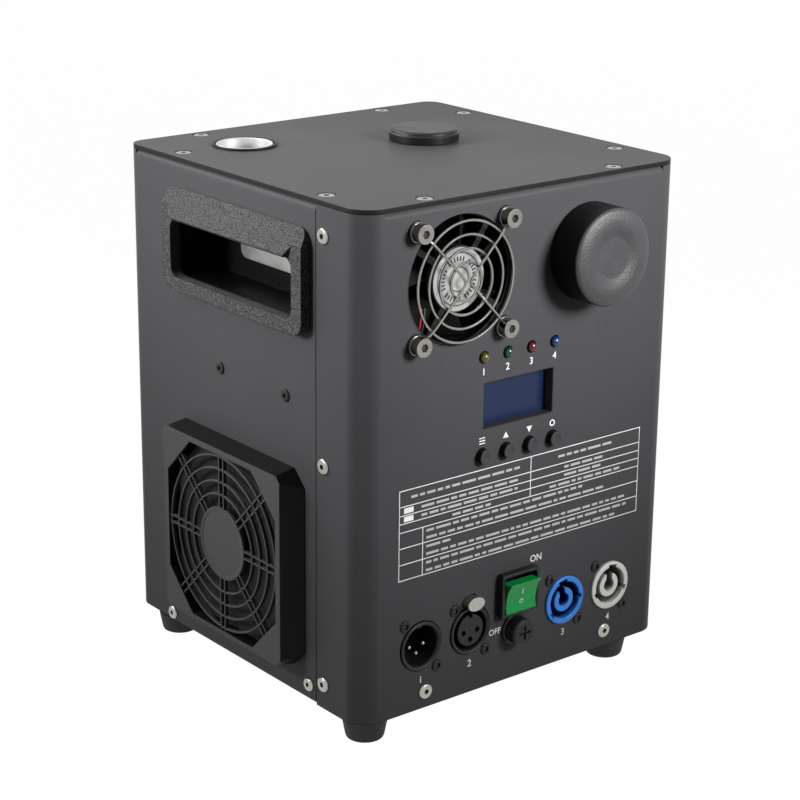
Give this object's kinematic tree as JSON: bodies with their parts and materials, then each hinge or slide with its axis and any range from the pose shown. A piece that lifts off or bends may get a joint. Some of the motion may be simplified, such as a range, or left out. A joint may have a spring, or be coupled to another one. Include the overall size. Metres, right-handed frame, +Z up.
{
  "type": "cold spark machine",
  "caption": "Box-shaped stage effect that heats metal granules and blows them up through a nozzle in its lid, with side handles, fans, a control panel and cable sockets.",
  "frame": {"origin": "under the middle of the whole object, on the plane of its feet", "axes": "X to the right when facing the control panel, Y from the panel to the back, Z up"},
  "size_m": [0.207, 0.2018, 0.253],
  "materials": {
    "charcoal_coat": "satin powder coat",
    "lid_coat": "satin powder coat with faint brushing",
    "black_plastic": "fine moulded texture",
    "textured_plastic": "coarse moulded texture",
    "rubber": "matte",
    "bright_plate": "polished nickel plate",
    "steel": "brushed",
    "aluminium": "turned and plain",
    "copper": "bare copper tube",
    "ceramic_fibre": "woven heat insulation",
    "circuit_board": "green solder mask",
    "display_glass": "clear over a blue display",
    "blue_plastic": "smooth",
    "grey_plastic": "smooth",
    "green_plastic": "translucent, smooth",
    "lens_yellow": "tinted lens",
    "lens_green": "tinted lens",
    "lens_red": "tinted lens",
    "lens_blue": "tinted lens",
    "fuse_glass": "clear tube"
  },
  "bodies": {
    "housing": {"base_pan": "charcoal_coat", "front_shell": "charcoal_coat", "rear_shell": "charcoal_coat", "top_cover": "lid_coat", "foot_front_left": "rubber", "foot_front_right": "rubber", "foot_rear_left": "rubber", "foot_rear_right": "rubber", "left_handle": "textured_plastic", "right_handle": "textured_plastic", "left_grip_plate": "steel", "right_grip_plate": "steel", "front_fan_frame": "black_plastic", "front_fan_guard": "bright_plate", "side_fan_frame": "black_plastic", "side_fan_grille": "black_plastic", "side_fan_filter": "ceramic_fibre", "clean_out_neck": "aluminium", "display_module": "display_glass", "control_board": "circuit_board", "ready_light": "lens_yellow", "signal_light": "lens_green", "fault_light": "lens_red", "heat_light": "lens_blue", "dmx_in_socket": "black_plastic", "dmx_out_socket": "black_plastic", "power_in_socket": "blue_plastic", "power_out_socket": "grey_plastic", "rocker_housing": "black_plastic", "fuse_holder": "black_plastic", "filler_neck": "aluminium", "hopper": "aluminium", "nozzle_collar": "black_plastic", "heating_tube": "steel", "auger_housing": "aluminium", "feed_motor": "steel", "insulation_sleeve": "ceramic_fibre", "induction_coil": "copper", "blower_housing": "black_plastic", "air_duct": "steel", "blower_bracket": "steel", "power_board": "circuit_board", "heat_sink": "aluminium", "fan_lead": "rubber"},
    "powder_cap": {"powder_cap": "black_plastic"},
    "clean_out_seal": {"clean_out_seal": "rubber"},
    "clean_out_cap": {"clean_out_cap": "black_plastic"},
    "front_fan_impeller": {"front_fan_impeller": "black_plastic"},
    "side_fan_impeller": {"side_fan_impeller": "black_plastic"},
    "blower_wheel": {"blower_wheel": "black_plastic"},
    "feed_auger": {"feed_auger": "steel"},
    "power_rocker": {"power_rocker": "green_plastic"},
    "menu_button": {"menu_button": "black_plastic"},
    "up_button": {"up_button": "black_plastic"},
    "down_button": {"down_button": "black_plastic"},
    "enter_button": {"enter_button": "black_plastic"},
    "dmx_out_latch": {"dmx_out_latch": "steel"},
    "fuse_link": {"fuse_link": "fuse_glass"},
    "fuse_cap": {"fuse_cap": "black_plastic"}
  },
  "joints": [
    {"name": "powder_cap_lift", "type": "slide", "parent": "housing", "child": "powder_cap", "axis": [0, 0, 1], "range_m": [0, 0.02]},
    {"name": "clean_out_cap_lift", "type": "slide", "parent": "housing", "child": "clean_out_seal", "axis": [0, -1, 0], "range_m": [0, 0.006]},
    {"name": "clean_out_cap_turn", "type": "hinge", "parent": "clean_out_seal", "child": "clean_out_cap", "pos_m": [0.0368, -0.0821, 0.2118], "axis": [0, -1, 0], "range_deg": [0, 720]},
    {"name": "front_fan_spin", "type": "hinge", "parent": "housing", "child": "front_fan_impeller", "pos_m": [-0.0381, -0.0821, 0.2096], "axis": [0, -1, 0], "continuous": true},
    {"name": "side_fan_spin", "type": "hinge", "parent": "housing", "child": "side_fan_impeller", "pos_m": [-0.0925, 0.0106, 0.0725], "axis": [-1, 0, 0], "continuous": true},
    {"name": "blower_spin", "type": "hinge", "parent": "housing", "child": "blower_wheel", "pos_m": [0.0215, 0.0618, 0.086], "axis": [0, 1, 0], "continuous": true},
    {"name": "feed_auger_spin", "type": "hinge", "parent": "housing", "child": "feed_auger", "pos_m": [0.0261, 0.0225, 0.171], "axis": [0.8924, -0.4513, 0], "continuous": true},
    {"name": "power_rocker_tilt", "type": "hinge", "parent": "housing", "child": "power_rocker", "pos_m": [-0.0011, -0.0811, 0.0543], "axis": [-1, 0, 0], "range_deg": [0, 22]},
    {"name": "menu_button_press", "type": "slide", "parent": "housing", "child": "menu_button", "axis": [0, 1, 0], "range_m": [0, 0.0005], "stiffness_N_per_m": 200},
    {"name": "up_button_press", "type": "slide", "parent": "housing", "child": "up_button", "axis": [0, 1, 0], "range_m": [0, 0.0005], "stiffness_N_per_m": 200},
    {"name": "down_button_press", "type": "slide", "parent": "housing", "child": "down_button", "axis": [0, 1, 0], "range_m": [0, 0.0005], "stiffness_N_per_m": 200},
    {"name": "enter_button_press", "type": "slide", "parent": "housing", "child": "enter_button", "axis": [0, 1, 0], "range_m": [0, 0.0005], "stiffness_N_per_m": 200},
    {"name": "dmx_out_latch_press", "type": "slide", "parent": "housing", "child": "dmx_out_latch", "axis": [0, 1, 0], "range_m": [0, 0.002], "stiffness_N_per_m": 200},
    {"name": "fuse_pull", "type": "slide", "parent": "housing", "child": "fuse_link", "axis": [0, -1, 0], "range_m": [0, 0.026]},
    {"name": "fuse_cap_turn", "type": "hinge", "parent": "fuse_link", "child": "fuse_cap", "pos_m": [-0.0015, -0.0821, 0.0353], "axis": [0, -1, 0], "range_deg": [0, 90]}
  ],
  "couplings": [
    {"joint": "clean_out_cap_lift", "follows": "clean_out_cap_turn", "m_per_rad": 0.000477}
  ]
}
